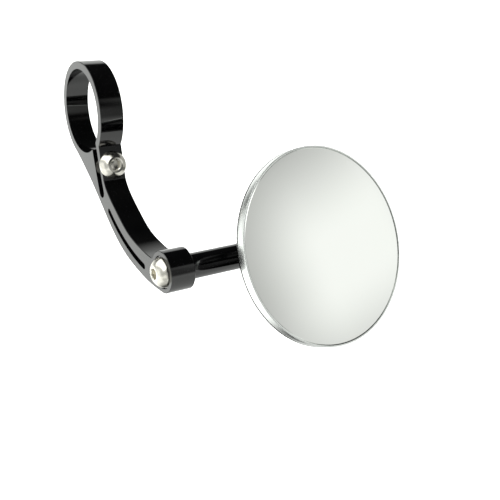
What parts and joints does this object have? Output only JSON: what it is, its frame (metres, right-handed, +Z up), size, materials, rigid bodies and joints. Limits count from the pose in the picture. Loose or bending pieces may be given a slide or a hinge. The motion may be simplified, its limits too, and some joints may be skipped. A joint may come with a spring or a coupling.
{
  "type": "bicycle mirror",
  "caption": "Round convex mirror on a ball joint and a swivelling stem, carried by a curved flat arm with a split clamp ring for a handlebar.",
  "frame": {"origin": "centre of the clamp bore, halfway through the plate's thickness", "axes": "+X along the handlebar axis from the clamp towards the mirror, +Z up; the mirror faces -Y and a little up"},
  "size_m": [0.0657, 0.0808, 0.0657],
  "materials": {
    "anodised": "gloss black anodised",
    "stainless": "polished stainless",
    "spring_steel": "satin",
    "acetal": "black acetal",
    "polished_rim": "polished and chromed",
    "foam_tape": "black foam tape",
    "mirror_glass": "silvered convex glass"
  },
  "bodies": {
    "arm": {"clamp_arm": "anodised", "pinch_bolt": "stainless", "pivot_disc_springs": "spring_steel", "pivot_washer": "acetal"},
    "stem": {"stem": "anodised", "pivot_bolt": "stainless", "ball_stud": "stainless", "stud_lock_screw": "stainless"},
    "liner": {"ball_liner": "acetal"},
    "pad": {"pressure_pad": "acetal", "pad_spring": "spring_steel"},
    "head": {"mirror_shell": "anodised", "bezel": "polished_rim", "retainer": "spring_steel", "retainer_screws": "stainless", "glass_adhesive": "foam_tape", "mirror_glass": "mirror_glass"}
  },
  "joints": [
    {"name": "stem_turn", "type": "hinge", "parent": "arm", "child": "stem", "pos_m": [0, -0.04475, -0.0319], "axis": [1, 0, 0], "continuous": true},
    {"name": "ball_pitch", "type": "hinge", "parent": "stem", "child": "liner", "pos_m": [0.03496, -0.05189, -0.03094], "axis": [1, 0, 0], "range_deg": [-6, 34]},
    {"name": "ball_yaw", "type": "hinge", "parent": "liner", "child": "pad", "pos_m": [0.03496, -0.05189, -0.03094], "axis": [0, 0.3681, 0.9298], "range_deg": [-16, 8]},
    {"name": "head_spin", "type": "hinge", "parent": "pad", "child": "head", "pos_m": [0.03496, -0.05189, -0.03094], "axis": [0.075, -0.9272, 0.3671], "continuous": true}
  ]
}
